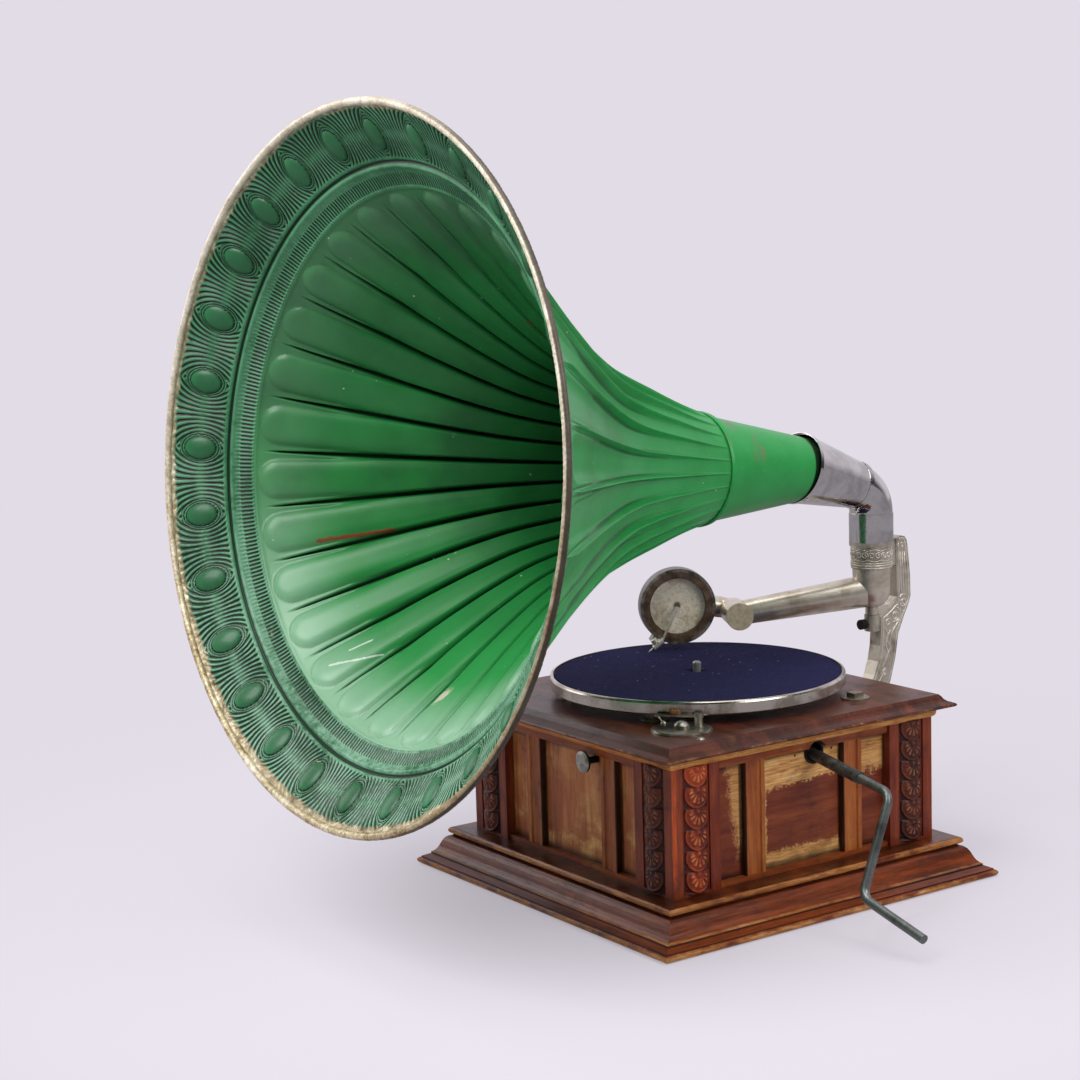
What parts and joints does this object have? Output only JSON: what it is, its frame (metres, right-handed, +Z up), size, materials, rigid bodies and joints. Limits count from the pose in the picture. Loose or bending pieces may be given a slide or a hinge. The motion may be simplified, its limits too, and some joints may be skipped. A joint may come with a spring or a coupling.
{
  "type": "horn gramophone",
  "caption": "Wind-up record player: carved wooden cabinet with spring motor, platter, hollow arm with sound box, cast bracket and fluted swivelling horn.",
  "frame": {"origin": "centre of the cabinet base on the surface it stands on", "axes": "+Z up, the horn opens toward -Y, the crank is on +X and the bracket stands behind the cabinet on +Y"},
  "size_m": [0.5599, 0.6328, 0.6636],
  "materials": {
    "walnut": "worn varnish",
    "carving": "dark stained carving",
    "raw_wood": "bare worn wood",
    "nickel": "worn nickel",
    "silvered": "silver bronzed casting",
    "steel": "oiled steel",
    "brass": "cut brass",
    "fibre": "laminated fibre",
    "felt": "wool felt",
    "green_paint": "enamel on sheet steel",
    "rim_paint": "enamel, bronze on the rim",
    "black_iron": "black lacquer",
    "leather": "leather",
    "rubber": "aged rubber",
    "mica": "mica"
  },
  "bodies": {
    "cabinet": {"base_moulding": "walnut", "bottom_board": "raw_wood", "front_panel": "walnut", "right_panel": "walnut", "plain_panels": "walnut", "corner_posts": "walnut", "carved_columns": "carving", "panel_stiles": "walnut", "panel_rails": "walnut", "bed_moulding": "raw_wood", "top_board": "walnut", "board_screw": "nickel", "crank_bush": "black_iron", "motor_top_plate": "steel", "motor_bottom_plate": "steel", "motor_pillars": "steel", "motor_bolts": "steel", "winding_bracket": "black_iron", "winding_check_spring": "steel", "governor_bracket": "black_iron", "brake_plate": "nickel", "bracket": "silvered", "bracket_screws": "nickel", "pivot_pin": "steel", "lock_screw": "black_iron"},
    "turntable": {"platter": "nickel", "felt_mat": "felt", "spindle": "nickel", "spindle_worm_wheel": "fibre"},
    "intermediate": {"intermediate_wheel": "brass"},
    "barrel": {"barrel_drum": "brass", "barrel_cap": "brass", "mainspring": "steel"},
    "governor": {"governor_shaft": "steel", "governor_disc": "brass", "governor_weights": "steel", "governor_springs": "steel"},
    "crank": {"crank_rod": "steel", "crank_sleeve": "black_iron", "winding_shaft": "steel"},
    "arbor": {"winding_arbor": "steel"},
    "speed_control": {"speed_knob": "nickel"},
    "regulator": {"regulator_lever": "steel", "regulator_pad": "leather"},
    "brake": {"brake_lever": "nickel", "brake_pad": "leather"},
    "arm": {"tone_arm": "silvered", "cross_cap": "nickel"},
    "soundbox": {"crook": "nickel", "soundbox_case": "nickel", "soundbox_ring": "rubber", "diaphragm": "mica", "stylus_bar": "nickel", "needle": "steel"},
    "clamp": {"needle_screw": "nickel"},
    "horn": {"horn_elbow": "nickel", "horn_neck": "green_paint", "horn_throat": "green_paint", "horn_bell": "green_paint", "horn_border": "rim_paint"}
  },
  "joints": [
    {"name": "turntable_spin", "type": "hinge", "parent": "cabinet", "child": "turntable", "pos_m": [0, 0, 0.17], "axis": [0, 0, 1], "continuous": true},
    {"name": "intermediate_spin", "type": "hinge", "parent": "cabinet", "child": "intermediate", "pos_m": [0.01832, 0.03099, 0.075], "axis": [0, 0, 1], "continuous": true},
    {"name": "barrel_spin", "type": "hinge", "parent": "cabinet", "child": "barrel", "pos_m": [0.068, 0.014, 0.094], "axis": [0, 0, 1], "continuous": true},
    {"name": "governor_spin", "type": "hinge", "parent": "cabinet", "child": "governor", "pos_m": [-0.0242, 0, 0.112], "axis": [0, 1, 0], "continuous": true},
    {"name": "crank_turn", "type": "hinge", "parent": "cabinet", "child": "crank", "pos_m": [0.12, 0.014, 0.1275], "axis": [1, 0, 0], "continuous": true},
    {"name": "arbor_turn", "type": "hinge", "parent": "cabinet", "child": "arbor", "pos_m": [0.068, 0.014, 0.115], "axis": [0, 0, 1], "continuous": true},
    {"name": "speed_knob_turn", "type": "hinge", "parent": "cabinet", "child": "speed_control", "pos_m": [0.0325, -0.146, 0.127], "axis": [0, -1, 0], "range_deg": [0, 300]},
    {"name": "regulator_swing", "type": "hinge", "parent": "cabinet", "child": "regulator", "pos_m": [0.022, -0.058, 0.1225], "axis": [0, 0, 1], "range_deg": [-6.4, 0]},
    {"name": "brake_swing", "type": "hinge", "parent": "cabinet", "child": "brake", "pos_m": [0.1045, -0.083, 0.1675], "axis": [0, 0, 1], "range_deg": [0, 9]},
    {"name": "arm_swing", "type": "hinge", "parent": "cabinet", "child": "arm", "pos_m": [0, 0.205, 0.22], "axis": [0, 0, 1], "range_deg": [-17, 22]},
    {"name": "soundbox_lift", "type": "hinge", "parent": "arm", "child": "soundbox", "pos_m": [-0.0606, 0.09567, 0.2065], "axis": [-0.8746, 0.4848, 0], "range_deg": [0, 95]},
    {"name": "needle_screw_turn", "type": "hinge", "parent": "soundbox", "child": "clamp", "pos_m": [-0.08632, 0.02452, 0.1839], "axis": [-0.2918, -0.5264, 0.7986], "range_deg": [0, 540]},
    {"name": "horn_swivel", "type": "hinge", "parent": "cabinet", "child": "horn", "pos_m": [0, 0.205, 0.28], "axis": [0, 0, 1], "continuous": true}
  ],
  "couplings": [
    {"joint": "intermediate_spin", "follows": "turntable_spin", "ratio": -0.2},
    {"joint": "barrel_spin", "follows": "turntable_spin", "ratio": 0.033333},
    {"joint": "governor_spin", "follows": "turntable_spin", "ratio": 12},
    {"joint": "arbor_turn", "follows": "crank_turn", "ratio": 0.3},
    {"joint": "regulator_swing", "follows": "speed_knob_turn", "ratio": -0.021008}
  ]
}
